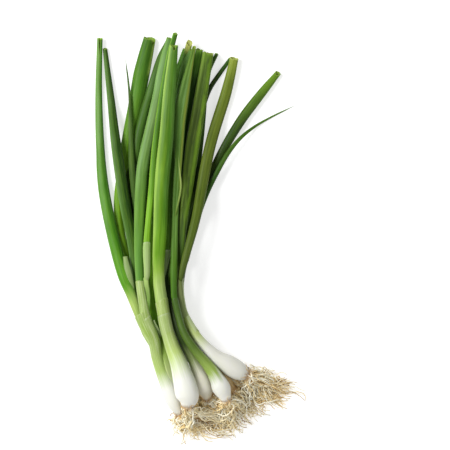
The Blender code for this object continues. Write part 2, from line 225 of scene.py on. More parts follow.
def read_paths():
    paths = {}
    for number, letters in LEAF_LETTERS.items():
        low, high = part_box(f"onion_{number}_roots")
        paths[number] = path_of(f"onion_{number}_bulb", SHANK_SIDES, (low + high) / 2)
        for letter in letters:
            leaf = f"onion_{number}_leaf_{letter}"
            paths[f"{number}_{letter}"] = path_of(leaf, LEAF_SIDES, lowest_along(leaf))
    return paths


PATHS = read_paths()

# pieces that lie a little beside their solids, as (middle along Y, reach along Y, distance to the right)
NUDGES = {
    "1_b": (-28, 14, 1.1), "1_c": (-50, 30, -0.8), "2": (6, 36, 0.8), "2_a": (6, 36, 0.8),
    "5": (-50, 22, -1), "5_a": (-50, 22, -1), "5_b": (18, 32, 0.8),
    "7": (-38, 20, -1.5), "7_a": (-38, 20, -1.5)}


def nudged(path, middle, reach, across):
    centre = path.centre.copy()
    centre[:, 0] += across * MM * np.exp(-((centre[:, 1] / MM - middle) / reach) ** 2)
    return Path(centre, path.wide, path.high)


for key, nudge in NUDGES.items():
    PATHS[key] = nudged(PATHS[key], *nudge)


# ---- sweeps

ENDS = (0, -1)   # the first and last row of a shell


def link(name, data):
    made = bpy.data.objects.new(name, data)
    bpy.context.scene.collection.objects.link(made)
    return made


class Shape:
    """Corners, faces and named values of one mesh, gathered shell by shell."""

    def __init__(self):
        self.points, self.faces, self.values, self.count = [], [], {}, 0

    def shell(self, rings, values, caps=(), around=True):
        """Rings are rows x corners x 3, values name a number for each corner, rows in caps are closed."""
        rows, corners = rings.shape[:2]
        first = self.count
        values = {name: np.broadcast_to(value, (rows, corners)) for name, value in values.items()}
        self._keep(rings.reshape(-1, 3), values)
        for row in range(rows - 1):
            low, high = first + row * corners, first + (row + 1) * corners
            for corner in range(corners if around else corners - 1):
                beside = (corner + 1) % corners
                self.faces.append((low + corner, high + corner, high + beside, low + beside))
        for row in caps:
            base, hub = first + row % rows * corners, self.count
            middle = {name: value[row].mean() for name, value in values.items()}
            self._keep(rings[row].mean(axis=0)[None], middle)
            for corner in range(corners):
                one, other = base + corner, base + (corner + 1) % corners
                self.faces.append((hub, one, other) if row == 0 else (hub, other, one))

    def _keep(self, points, values):
        self.points.append(np.maximum(points, LOWEST))
        for name, value in values.items():
            self.values.setdefault(name, []).append(np.asarray(value, float).reshape(-1))
        self.count += len(points)

    def object(self, name):
        mesh = bpy.data.meshes.new(name)
        mesh.from_pydata(np.concatenate(self.points).tolist(), [], self.faces)
        for key, values in self.values.items():
            layer = mesh.attributes.new(key, "FLOAT", "POINT")
            layer.data.foreach_set("value", np.concatenate(values).astype(np.float32))
        mesh.polygons.foreach_set("use_smooth", [True] * len(mesh.polygons))
        mesh.update()
        return link(name, mesh)


def turn(corners):
    """The angles of a ring's corners, from the right over the top."""
    return np.arange(corners) * 2 * math.pi / corners


def around_path(path, run, angle, swell, lift):
    """Points round a path at distances and angles, with its half widths times swell and plus lift."""
    run, angle, swell, lift = np.broadcast_arrays(run, angle, swell, lift)
    centre, across, up = path.at(run, "centre"), path.at(run, "across"), path.at(run, "up")
    wide, high = path.at(run, "wide") * swell + lift, path.at(run, "high") * swell + lift
    return centre + across * (wide * np.cos(angle))[..., None] + up * (high * np.sin(angle))[..., None]


def bell(value):
    return np.exp(-value * value)


def angle_between(one, other):
    return (one - other + math.pi) % (2 * math.pi) - math.pi


def rise(value, low, high):
    """Smoothly from 0 at low to 1 at high."""
    share = np.clip((value - low) / (high - low), 0, 1)
    return share * share * (3 - 2 * share)


# ---- leaves and shanks

COLLAR_EASE = 9       # rows over which a stalk's width eases at its collar
TUCK = 6 * MM         # how far inside the outer sheath the leaf starts that carries a shank on
SINK = 2.5 * MM       # how much lower than its solid a side leaf starts
SIDE_EASE = 9 * MM    # how far along it a side leaf has its solid's height and width
SIDE_START = 0.4      # share of its solid's width where a side leaf starts
WALL = 0.5 * MM       # thickness of a leaf's wall at its cut
HOLLOW = 24 * MM      # how far back from the cut a leaf is hollow
TIP = 18 * MM         # how far back from the cut the rings turn towards its slant
SHORTEST_TIP = 6 * MM
TIP_ROWS = 26
HOLLOW_ROWS = 12
POINT = 8 * MM        # how far past its solid an uncut leaf runs to a point
DENTS = 5             # on each leaf
FORK_ROWS = 34
FORK_EASE = 15 * MM   # how far along Y a fork widens from its stalk
TOP = math.pi / 2
FULL_TURN = 6.28

# leaf: its crease, as (angle, depth over the half width, half width in angle)
CREASES = {
    "1_a": (TOP + 0.1, 0.05, 0.5), "1_c": (TOP + 0.5, 0.05, 0.5), "2_a": (TOP - 0.35, 0.10, 0.30),
    "3_b": (TOP, 0.10, 0.4), "4_a": (TOP - 0.1, 0.42, 0.42), "5_a": (TOP + 0.1, 0.26, 0.60),
    "5_b": (TOP - 0.3, 0.10, 0.5), "6_a": (TOP, 0.08, 0.5), "8_b": (TOP - 0.8, 0.14, 0.45)}
# leaf: a slit or nick in its cut end, as (angle, depth, half width in angle)
NOTCHES = {
    "1_c": (TOP, 13, 0.3), "2_a": (TOP - 0.2, 4, 0.4), "5_a": (TOP - 0.9, 2, 0.4),
    "8_b": (TOP - 1.1, 5, 0.5)}
# leaf: how far its cut leans back, over its half height
SLANTS = {"1_b": 0.6, "2_b": 0.6, "3_b": 1.3, "4_a": 1.2, "7_a": 0.9}
SLANT = 0.3           # of all other cuts
POINTED = ("4_b", "7_c", "8_c")
# side leaf: share of its solid's width, and where along Y it begins to widen and has all of it
SLIM = {"1_b": (0.90, 130, 160), "5_b": (0.84, 15, 65)}
# leaf: a lighter line along it, on 5_a a painted highlight on its lit left edge, as (angle, half width in
# angle, reach back from the tip)
STRIPES_AND_HIGHLIGHTS = {"4_a": (0.66, 0.26, 120), "5_a": (math.pi - 0.58, 0.30, 150), "8_b": (0.36, 0.22, 32)}

# stalk: the rim of its outer sheath, as (place past the collar, slant, angle of its highest side)
RIMS = {
    "1": (0.5, 2, 2.2), "2": (-10.5, 3.5, 0.4), "3": (2, 3, 1), "4": (-2, 4, 1.4), "5": (-4, 4, 1.9),
    "6": (2, 3, 1.9), "7": (2, 3, 1.9), "8": (2, 4, 2.3)}
# piece: another sheath on it, as (place of the rim, slant, angle of its highest side, length, paleness)
SLEEVES = {
    "1": (84, 5, 0.4, 30, 0.15), "2": (77, 3, 0.9, 30, 0.25), "1_b": (35, 1.5, 1.2, 34, 0.62),
    "2_b": (23, 2, 1, 22, 0.6), "8_b": (35, 3, 2, 34, 0.22)}
# the blunt root end, as (distance along the bulb, share of its radius)
PLATE = ((-0.9, 0.35), (-0.75, 0.70), (-0.35, 0.93))
# stalk: a short sheath round it and a leaf that parts from it, as (leaf, from and to along Y, slant)
FORKS = {"1": ("c", -89, -60, 4)}
# stalk: an old papery sheath over one side of it, as (from and to past the collar, from and to in angle)
WRAPS = {"5": (-33, 30, -1.1, 1.3)}


def eased(values, where):
    """Values with the step at a row spread over the rows round it."""
    window = np.ones(2 * COLLAR_EASE + 1) / (2 * COLLAR_EASE + 1)
    smooth = np.convolve(np.pad(values, COLLAR_EASE, mode="edge"), window, mode="valid")
    near = 1 - rise(np.abs(np.arange(len(values)) - where), COLLAR_EASE, 2.5 * COLLAR_EASE)
    return values + (smooth - values) * near


def stalk_of(number):
    """The path of a shank and of the leaf that carries it on."""
    shank, leaf = PATHS[number], PATHS[f"{number}_a"]
    sizes = [eased(np.concatenate(pair), len(shank.run))
             for pair in ((shank.wide, leaf.wide), (shank.high, leaf.high))]
    return Path(np.vstack([shank.centre, leaf.centre]), *sizes)


STALKS = {number: stalk_of(number) for number in LEAF_LETTERS}


def rim_of(number):
    """How far along its stalk a shank's outer sheath ends."""
    return PATHS[number].length + RIMS[number][0] * MM


def leaf_path(number, letter):
    """The path of a leaf: a stalk's upper part, or a side leaf that comes out of its shank."""
    if letter == "a":
        stalk = STALKS[number]
        first = int(np.searchsorted(stalk.run, rim_of(number) - TUCK))
        return Path(stalk.centre[first:], stalk.wide[first:], stalk.high[first:])
    path = PATHS[f"{number}_{letter}"]
    out = rise(path.run, 0, SIDE_EASE)
    size = SIDE_START + (1 - SIDE_START) * out
    share, widens_at, full_at = SLIM.get(f"{number}_{letter}", (1, 0, 1))
    slim = share + (1 - share) * rise(path.centre[:, 1], widens_at * MM, full_at * MM)
    return Path(path.centre - UP * (SINK * (1 - out))[:, None], path.wide * size * slim, path.high * size)


LEAVES = {f"{number}_{letter}": leaf_path(number, letter)
          for number, letters in LEAF_LETTERS.items() for letter in letters}
COURSES = {**STALKS, **LEAVES}


def ripples(rng, run, length, size):
    """A slow random swell along a piece."""
    total = np.zeros_like(run)
    for wave in (2.3, 4.1, 7.7):
        phase = rng.uniform(0, FULL_TURN)
        total = total + math.sqrt(1 / wave) * np.sin(wave * math.pi * run / length + phase)
    return size * total


def leaf_swell(key, run, angle, length):
    """The factor on a leaf's half widths at each distance and angle: creases, faint ribs and dents."""
    rng = random.Random("leaf " + key)
    ribs = rng.choice((9, 11, 13))
    phase = rng.uniform(0, FULL_TURN) + ripples(rng, run, length, 0.35)
    swell = 0.995 - 0.010 * np.cos(ribs * angle + phase) + ripples(rng, run, length, 0.010)
    if key in CREASES:
        crease, depth, spread = CREASES[key]
        fade = rise(run, 0.10 * length, 0.32 * length)
        swell = swell - depth * fade * bell(angle_between(angle, crease) / spread)
    for _ in range(DENTS):
        place, side = rng.uniform(0.12, 0.92) * length, rng.uniform(0, FULL_TURN)
        depth, reach = rng.uniform(0.02, 0.07), rng.uniform(6, 16) * MM
        swell = swell - depth * bell((run - place) / reach) * bell(angle_between(angle, side) / 0.9)
    return swell


def shank_swell(number, run, angle, length):
    """The factor on a shank's half widths: fine ribs that fade out on the bulb."""
    rng = random.Random(f"shank {number}")
    total = 0.99 + ripples(rng, run, length, 0.006)
    for ribs, size in ((7, 0.006), (17, 0.0035), (27, 0.0022)):
        phase = rng.uniform(0, FULL_TURN) + 0.8 * np.sin(run / (30 * MM))
        total = total + size * np.cos(ribs * angle + phase) * rise(run, 6 * MM, 40 * MM)
    return total


def surface_values(path, key, run, angle, cut, sheath):
    """What the materials read at each corner: its place on the piece in mm, and looks from 0 to 1."""
    mean = (path.wide.mean() + path.high.mean()) / 2 / MM
    stripe = 0
    # the stripe mask, on 5_a a painted highlight along its left edge
    if key in STRIPES_AND_HIGHLIGHTS:
        place, spread, reach = STRIPES_AND_HIGHLIGHTS[key]
        begin = path.length - reach * MM
        stripe = bell(angle_between(angle, place) / spread) * rise(run, begin, begin + 0.2 * reach * MM)
    # side runs from 0 at the left to 1 at the right and places the painted highlight and shade on a leaf
    return {"gx": mean * np.cos(angle), "gy": mean * np.sin(angle), "gz": run / MM, "along": run / MM,
            "cut": cut, "sheath": sheath, "side": 0.5 + 0.5 * np.cos(angle), "stripe": stripe}


def add_skin(shape, path, key, run, angle, swell, lift=0, cut=0, sheath=0, **kind):
    """One shell round a path."""
    points = around_path(path, run, angle, swell, lift)
    shape.shell(points, surface_values(path, key, run, angle, cut, sheath), **kind)


def slanted(place, slant, highest, angle):
    """A rim round a piece, at its place on its highest side and as far back as its slant on the other."""
    return place + slant * MM * (np.cos(angle - highest) - 1) / 2


def uneven(rng, size, angle):
    """A small random number for each corner of a ring."""
    return np.array([rng.gauss(0, size) for _ in angle])


def lip_of(rim):
    """Distances of a sheath's last rows: over its rim, and back inside it."""
    return np.vstack([rim + 0.08 * MM, rim, rim - 1.5 * MM, rim - 4 * MM])


def lift_rows(rim, *lifts):
    """A row round a rim for each lift in mm."""
    return np.array(lifts)[:, None] * MM + 0 * rim


def add_sleeve(shape, path, key, swell, angle):
    """A thin sheath round a piece: it comes out of the surface, and ends in a pale dry rim."""
    rim_at, slant, highest, reach, sheath = SLEEVES[key]
    rng = random.Random(f"rim {key} {rim_at}")
    rim = slanted(rim_at * MM, slant, highest, angle) + uneven(rng, 0.10 * MM, angle)
    share = np.linspace(0, 1, max(8, round(reach / SHANK_ROW)))[:, None]
    run = np.vstack([rim - reach * MM * (1 - share), lip_of(rim)])
    out = (-0.35 + 0.65 * rise(share, 0, 0.9)) * MM + 0 * rim
    lift = np.vstack([out, lift_rows(rim, 0.16, 0, -0.08, -0.45)])
    pale = sheath + (1 - sheath) * rise(run, rim - 1.6 * MM, rim - 0.4 * MM)
    add_skin(shape, path, key, run, angle, swell(run), lift, sheath=pale)


def cut_edge(key, path, angle):
    """How far along its path a cut leaf reaches at each angle."""
    ragged = uneven(random.Random("cut " + key), 0.25 * MM, angle)
    ragged = (ragged + 1.5 * np.roll(ragged, 1) + np.roll(ragged, 2)) / 2
    edge = path.length - path.high[-1] * SLANTS.get(key, SLANT) * np.sin(angle) + ragged
    if key in NOTCHES:
        place, depth, spread = NOTCHES[key]
        edge = edge - depth * MM * bell(angle_between(angle, place) / spread) ** 1.5
    return edge


def covered(key, run):
    """How pale a leaf is where it is still inside its own sheath."""
    if key not in SLEEVES:
        return 0
    rim_at, *_, sheath = SLEEVES[key]
    return sheath * (1 - rise(run, (rim_at - 2) * MM, rim_at * MM))


def make_leaf(key):
    path, length = LEAVES[key], LEAVES[key].length
    angle = turn(LEAF_AROUND)

    def swell(run):
        return leaf_swell(key, run, angle, length)

    shape = Shape()
    pointed = key in POINTED
    edge = length + POINT + 0 * angle if pointed else cut_edge(key, path, angle)
    start = min(length - TIP, edge.min() - SHORTEST_TIP)
    rows = np.linspace(0, start, max(4, round(start / (LEAF_ROW * MM))), endpoint=False)[:, None] + 0 * angle
    run = np.vstack([rows, start + (edge - start) * np.linspace(0, 1, TIP_ROWS)[:, None]])
    if pointed:
        factor = swell(run) * (1 - rise(run, length - 8 * MM, length + POINT)) + 0.02
        thinner, cut, sheath = 0, 0, 0
    else:
        over = np.vstack([edge + 0.12 * MM, edge - 0.02 * MM])
        floor = min(length - HOLLOW, edge.min() - SHORTEST_TIP)
        inner = edge + (floor - edge) * np.linspace(0, 1, HOLLOW_ROWS)[1:, None]
        thinner = np.vstack([0 * run, np.array([[-0.5], [-1]]) * WALL + 0 * over, 0 * inner - WALL])
        cut = np.vstack([rise(run, edge - 0.8 * MM, edge), 1 + 0 * over, 1 + 0 * inner])
        run = np.vstack([run, over, inner])
        factor, sheath = swell(run), covered(key, run)
    add_skin(shape, path, key, run, angle, factor, thinner, cut, sheath, caps=ENDS)
    if key in SLEEVES:
        add_sleeve(shape, path, key, swell, angle)
    return shape.object("spring_onion_leaf_" + key)


def fork_path(stalk, leaf, low, high):
    """A path whose sections hold those of a stalk and of the leaf beside it, starting on the stalk alone."""
    rows = []
    for y in np.linspace(low, high, FORK_ROWS):
        ends = []
        for path in (stalk, leaf):
            short = min(0, y - path.centre[0, 1]) / path.along[0, 1]
            run = np.interp(y, path.centre[:, 1], path.run) + short
            x, _, z = path.at(run, "centre")
            wide, tall = path.at(run, "wide") / max(0.5, path.at(run, "along")[1]), path.at(run, "high")
            ends.append((x - wide, x + wide, z - tall, z + tall))
        own, both = np.array(ends[0]), np.array(ends)
        hull = np.array([both[:, 0].min(), both[:, 1].max(), both[:, 2].min(), both[:, 3].max()])
        left, right, under, over = own + (hull - own) * rise(y, low, low + FORK_EASE)
        tilt = stalk.at(np.interp(y, stalk.centre[:, 1], stalk.run), "along")[1]
        middle = ((left + right) / 2, y, (under + over) / 2)
        rows.append((*middle, (right - left) / 2 * tilt, (over - under) / 2))
    rows = np.array(rows)
    return Path(rows[:, :3], rows[:, 3], rows[:, 4])


def add_fork(shape, number, letter, low, high, slant):
    stalk = STALKS[number]
    path = fork_path(stalk, PATHS[f"{number}_{letter}"], low * MM, high * MM)
    angle = turn(SHANK_AROUND)
    rim = slanted(path.length, slant, 1.2, angle)
    share = np.linspace(0, 1, round(path.length / (SHANK_ROW * MM)))[:, None]
    run = np.vstack([rim * share, lip_of(rim)])
    out = (-0.3 + 0.5 * rise(share, 0, 0.6)) * MM + 0 * rim
    lift = np.vstack([out, lift_rows(rim, 0.1, 0, -0.1, -0.5)])
    points = around_path(path, run, angle, shank_swell(number, run, angle, path.length), lift)
    values = surface_values(stalk, number, run, angle, 0, 0)
    values["along"] = values["gz"] = np.interp(points[..., 1], stalk.centre[:, 1], stalk.run) / MM
    shape.shell(points, values)


def add_wrap(shape, number, low, high, first, last):
    path, collar = STALKS[number], PATHS[number].length
    share, side = np.linspace(0, 1, 70)[:, None], np.linspace(0, 1, 26)
    torn = 1.2 * MM * np.sin(9 * side + 1) * (1 - share)
    run = collar + (low + (high - low) * share) * MM + torn
    angle = (first + last) / 2 + (last - first) * (side - 0.5) * (0.25 + 0.75 * rise(share, 1, 0.55))
    angle = angle + 0.10 * np.sin(11 * share)
    lift = (0.42 - 0.40 * np.abs(2 * side - 1) ** 3 + 0.10 * np.sin(7 * side + 6 * share)) * MM
    swell = shank_swell(number, run, angle, path.length)
    add_skin(shape, path, number, run, angle, swell, lift, sheath=1, around=False)


def make_shank(number):
    path, length = STALKS[number], rim_of(number)
    angle = turn(SHANK_AROUND)

    def swell(run):
        return shank_swell(number, run, angle, length)

    _, slant, highest = RIMS[number]
    rim = slanted(length, slant, highest, angle) + uneven(random.Random(f"lip {number}"), 0.08 * MM, angle)
    plate, shares = (np.array(column)[:, None] for column in zip(*PLATE))
    plate = plate * MM + 0 * angle
    run, lip = rim * np.linspace(0, 1, round(length / (SHANK_ROW * MM)))[:, None], lip_of(rim)
    factor = np.vstack([swell(0 * plate) * shares, swell(run), swell(lip)])
    over = 0.02 + 0.33 * rise(run, length - 20 * MM, length)
    lift = np.vstack([0 * plate, over * MM, lift_rows(rim, 0.2, 0.05, 0, -0.5)])
    run = np.vstack([plate, run, lip])
    shape = Shape()
    add_skin(shape, path, number, run, angle, factor, lift, caps=(0,))
    if number in SLEEVES:
        add_sleeve(shape, path, number, swell, angle)
    if number in FORKS:
        add_fork(shape, number, *FORKS[number])
    if number in WRAPS:
        add_wrap(shape, number, *WRAPS[number])
    return shape.object(f"spring_onion_shank_{number}")


# thin pieces between the leaves, of which under_2, under_8 and under_5 are dark sheets of painted shade in
# gaps:
# (the two stalks or leaves beside it, how papery it is, its looks, and along it (Y, share of the way from
# the first of those two to the other, height of its centre, width))
STRIPS = {
    "foot_1": ("1", "2", 0, "foot", (-63, 0.13, 20, 1.6), (-56, 0.24, 21.5, 2.6),
        (-50, 0.33, 22.5, 2.8), (-44, 0.36, 24, 3), (-38, 0.32, 25.2, 4.2), (-31, 0.31, 24, 4)),
    "scrap_1": ("1", "2", 1, "foot", (-79, 0.5, 17, 0.8), (-75, 0.5, 19, 2.6),
        (-69, 0.4, 20.5, 2.2), (-65, 0.36, 20.5, 0.8)),
    "paper_8": ("1_c", "1", 0.5, "husk", (-44, 0.32, 16, 1.4), (-38, 0.34, 17, 4.4),
        (-30, 0.36, 17.4, 5.8), (-23, 0.34, 16.6, 5.2), (-16, 0.34, 14.8, 3.8), (-14, 0.34, 14, 2.6)),
    "paper_5": ("4", "5", 0, "dry", (-70, 0.98, 18.8, 3), (-64, 1, 19.4, 5.6),
        (-54, 0.98, 20.6, 5.6), (-44, 0.95, 22.4, 5.4), (-37, 0.95, 23.6, 4.4), (-28, 1, 22, 3.4),
        (-20, 1.05, 20, 2)),
    "under_1": ("1", "2", 0, "mid", (-88, 0.45, 10, 3), (-76, 0.45, 11, 7),
        (-20, 0.45, 10.5, 9), (50, 0.48, 8, 9.5), (80, 0.5, 7.5, 6)),
    "under_3": ("1", "2", 0, "low", (-118, 0.36, 14, 5), (-108, 0.38, 15.5, 7.5),
        (-98, 0.4, 16, 7.5), (-86, 0.44, 16, 6.5), (-77, 0.46, 15, 3)),
    # under_2, under_8 and under_5: dark sheets of painted shade where the gaps between the pieces are in
    # shade
    "under_2": ("2", "4", 0, "deep", (-124, 0.5, 9, 3), (-105, 0.5, 10, 6),
        (-70, 0.45, 9.5, 8), (-10, 0.45, 7, 7), (12, 0.4, 7.5, 3)),
    "under_8": ("8", "1", 0, "deep", (-26, 0.3, 3.2, 3), (-10, 0.28, 3.2, 7),
        (44, 0.26, 3.4, 7), (62, 0.3, 3.5, 3)),
    "under_5": ("5_b", "5_a", 0, "deep", (-26, 0.4, 6, 2), (-16, 0.4, 6, 5),
        (30, 0.42, 6, 9), (58, 0.42, 6, 5)),
}
STRIP_EASE = 6       # rows to either side that a strip's course is smoothed over
STRIP_HEIGHT = 0.30  # half its height over its width


def make_strip(name):
    first, second, papery, _, *rows = STRIPS[name]
    stops = np.arange(rows[0][0], rows[-1][0], LEAF_ROW) * MM
    table = np.array(rows) * np.array([MM, 1, MM, MM])
    share, height, width = (np.interp(stops, table[:, 0], column) for column in table[:, 1:].T)
    one, other = (np.interp(stops, COURSES[key].centre[:, 1], COURSES[key].centre[:, 0])
                  for key in (first, second))
    centres = np.column_stack([one + (other - one) * share, stops, height])
    window = np.hanning(2 * STRIP_EASE + 1)
    for column in (centres[:, 0], centres[:, 2], width):
        column[:] = np.convolve(np.pad(column, STRIP_EASE, mode="edge"), window / window.sum(), mode="valid")
    path = Path(centres, width / 2, STRIP_HEIGHT * width)
    angle = turn(LEAF_AROUND)
    run = path.run[:, None] + 0 * angle
    shape = Shape()
    swell = leaf_swell(name, run, angle, path.length)
    add_skin(shape, path, name, run, angle, swell, sheath=papery, caps=ENDS)
    return shape.object("spring_onion_blade_" + name)


# ---- roots

ROOT_SIDES = 5
ROOT_STEPS = 22
LOWEST_ROOT = 0.4 * MM
HIGHEST_ROOT = 34 * MM
FURTHEST_ROOT = 90 * MM     # to the right
OBLIQUE = np.array([0.31, 0.52, 0.80])   # no strand runs along it
PILE = 12 * MM              # height of the pile of roots
BUNDLE = 2                  # strands that keep together
THIN = 0.25                 # share of the strands that are thin and loose

# tuft: its bundles, as (how many, x and y where they turn, x and y where they end, how far they stray, how
# high they lie in the pile from 0 to 1), from the root plate
TUFTS = {
    "1": ((14, -1, -5, -2, -6, 3, 0.5), (24, 1, -8, 4, -14, 5, 0.5), (22, 6, -9, 18, -15, 6, 0.4),
        (12, 12, -13, 36, -14, 3, 0.7)),
    "2": ((16, 2, -11, 5, -22, 2, 1), (18, 1, -8, -6, -15, 3.5, 0.5), (34, 5, -11, 19, -17, 5, 0.5),
        (32, 14, -10, 36, -14, 6, 0.6), (12, 14, -8, 36, -9, 3, 1), (4, 0, -22, 8, -26, 1, 0.8)),
    "3": ((14, -6, -1, -9, 2, 3, 0.3), (9, -4, -3, -8, -4, 1.5, 0.4), (32, 1, -9, 0, -21, 5, 0.5),
        (32, 8, -12, 15, -22, 5, 0.5), (28, 12, -7, 27, -12, 6, 0.6)),
    "4": ((26, 1, -9, -2, -20, 5, 0.6), (14, 3, -12, 6, -25, 3, 0.9), (28, 8, -5, 18, -11, 6, 0.6),
        (28, -6, -6, -15, -14, 5, 0.6)),
    "5": ((36, 13, -5, 27, -11, 4.5, 0.6), (22, 11, -9, 16, -18, 4, 0.5), (18, 15, -5, 31, -11, 3.5, 0.5),
        (22, 8, -6, 12, -16, 5, 0.7), (13, 2, -12, -7, -24, 1.5, 1), (7, 6, -2, 13, -4, 3, 0.7),
        (3, 12, 1, 22, 0, 2, 0.7), (3, 24, -10, 49, -19, 2, 0.4), (20, -2, -7, -8, -9, 5, 0.4)),
    "6": ((26, 5, -3, 13, -9, 5, 0.5), (26, 6, -8, 17, -16, 5, 0.5), (18, 0, -8, 2, -17, 5, 0.5),
        (20, 4, 2, 10, 2, 4, 0.4)),
    "7": ((30, 10, -2, 25, -9, 5, 0.5), (24, 12, -6, 26, -11, 5, 0.5), (20, 5, -6, 10, -14, 5, 0.5)),
    "8": ((24, 8, -6, 21, -14, 6, 0.4), (24, 4, -10, 10, -20, 5, 0.4), (26, 14, -8, 35, -16, 6, 0.4)),
}
# bulb: the dry fibres over its root end, as (how many, how far back the longest reaches)
FIBRES = {
    "1": (10, 4), "2": (8, 3), "3": (14, 9), "4": (10, 3.5), "5": (14, 5), "6": (110, 34), "7": (100, 34),
    "8": (0, 0)}


def scatter(rng, *spreads):
    """A random vector, with the spread of each of its numbers."""
    return np.array([rng.gauss(0, spread) for spread in spreads])


def waves(share, rng, size):
    """A slow random sway, still at the start of a strand."""
    total = 0 * share + np.zeros(3)
    for _ in range(5):
        cycles, way = rng.uniform(0.6, 6), scatter(rng, 1, 1, 0.5)
        total = total + way * size / cycles * np.sin(2 * math.pi * (cycles * share + rng.random()))
    return total * rise(share, 0, 0.3)


def strand(start, heading, bend, end, sway, rng):
    """A wavy line that leaves the plate along heading and turns at its bend towards its end on the pile."""
    share = np.linspace(0, 1, ROOT_STEPS)[:, None]
    left = 1 - share
    first = start + heading * rng.uniform(2, 5) * MM
    line = (left ** 3 * start + 3 * left ** 2 * share * first
            + 3 * left * share ** 2 * bend + share ** 3 * end)
    hook = scatter(rng, 2.2, 2.2, 1) * MM
    line = line + sway + waves(share, rng, 1.3 * MM) + hook * rise(share, 0.6, 1)
    line[:, 2] = np.clip(line[:, 2], LOWEST_ROOT, min(HIGHEST_ROOT, start[2] + 4 * MM))
    line[:, 0] = np.minimum(line[:, 0], FURTHEST_ROOT)
    return line


def tube(shape, points, radius, tone):
    """A thin tapering tube along a line of points, with its radius in mm."""
    along = unit(np.gradient(points, axis=0))
    side = unit(np.cross(along, OBLIQUE))
    up = np.cross(side, along)
    angle = turn(ROOT_SIDES)
    taper = radius * MM * np.linspace(1, 0.5, len(points))[:, None]
    rings = (points[:, None] + side[:, None] * (taper * np.cos(angle))[..., None]
             + up[:, None] * (taper * np.sin(angle))[..., None])
    run = distances(points)[:, None] / MM
    shape.shell(rings, {"gx": radius * np.cos(angle), "gy": radius * np.sin(angle), "gz": run, "along": run,
                        "tone": tone}, ENDS)


def add_bundle(shape, bulb, rng, bend_x, bend_y, end_x, end_y, stray, lie):
    """Strands that leave the root plate side by side and keep together on the pile."""
    centre, heading = bulb.centre[0], -bulb.along[0]
    spin, out = rng.uniform(0, 2 * math.pi), math.sqrt(rng.uniform(0, 1))
    level = min(1, max(0, rng.gauss(lie, 0.28)))
    aim = scatter(rng, 0.6, 0.6) * stray
    pile = PILE * level * min(1, centre[2] / PILE + 0.3)
    bend_x, bend_y = centre[:2] + (np.array([bend_x, bend_y]) + aim * 0.6) * MM
    end_x, end_y = centre[:2] + (np.array([end_x, end_y]) + aim) * MM
    bend, end = np.array([bend_x, bend_y, pile + 1 * MM]), np.array([end_x, end_y, 0.35 * pile])
    sway = waves(np.linspace(0, 1, ROOT_STEPS)[:, None], rng, 1.9 * MM)
    own_tone = rng.gauss(0, 0.17)
    for _ in range(BUNDLE):
        angle, moved = spin + rng.gauss(0, 0.4), min(1, abs(out + rng.gauss(0, 0.15)))
        aside = bulb.across[0] * math.cos(angle) * bulb.wide[0] + bulb.up[0] * math.sin(angle) * bulb.high[0]
        start = moved * 0.7 * aside
        fan = unit(heading + unit(start + 1e-9) * moved * rng.uniform(0.2, 0.8))
        thin = rng.random() < THIN
        loose = scatter(rng, 1, 1, 0.6) * (2.8 if thin else 1.4) * MM
        line = strand(centre + start + heading * 0.2 * MM, fan, bend + 0.5 * loose, end + loose, sway, rng)
        radius = rng.uniform(0.13, 0.22) if thin else rng.uniform(0.36, 0.58) + 0.20 * level
        # painted light: strands that lie higher in the pile get a lighter tone, on top of a random one
        tone = 0.28 + 0.5 * level + own_tone + rng.gauss(0, 0.22)
        tube(shape, line, radius, min(1, max(0, tone)))


def add_fibre(shape, bulb, rng, longest):
    """A dry root fibre that lies along a bulb."""
    reach, bearing = rng.uniform(0.45, 1) * longest * MM, rng.uniform(0, 2 * math.pi)
    run = np.linspace(-1 * MM, reach, 14)
    drift = bearing + 0.25 * np.sin(run / reach * rng.uniform(2, 5) + rng.uniform(0, 6)) * run / reach
    lift = (0.15 + 0.35 * rng.random() + 1.2 * rng.random() * rise(run, 0.7 * reach, reach)) * MM
    tube(shape, around_path(bulb, run, drift, 1, lift), rng.uniform(0.12, 0.32), rng.uniform(0, 0.5))


def make_roots(number):
    bulb = PATHS[number]
    rng = random.Random(f"roots {number}")
    shape = Shape()
    for bundles, *course in TUFTS[number]:
        for _ in range(bundles):
            add_bundle(shape, bulb, rng, *course)
    fibres, longest = FIBRES[number]
    for _ in range(fibres):
        add_fibre(shape, bulb, rng, longest)
    return shape.object(f"spring_onion_roots_{number}")


# ---- materials

def rgb(red, green, blue):
    """A colour named by its 0 to 255 display values, as the shader's linear colour."""
    def linear(value):
        value /= 255
        return value / 12.92 if value <= 0.04045 else ((value + 0.055) / 1.055) ** 2.4
    return (linear(red), linear(green), linear(blue), 1)


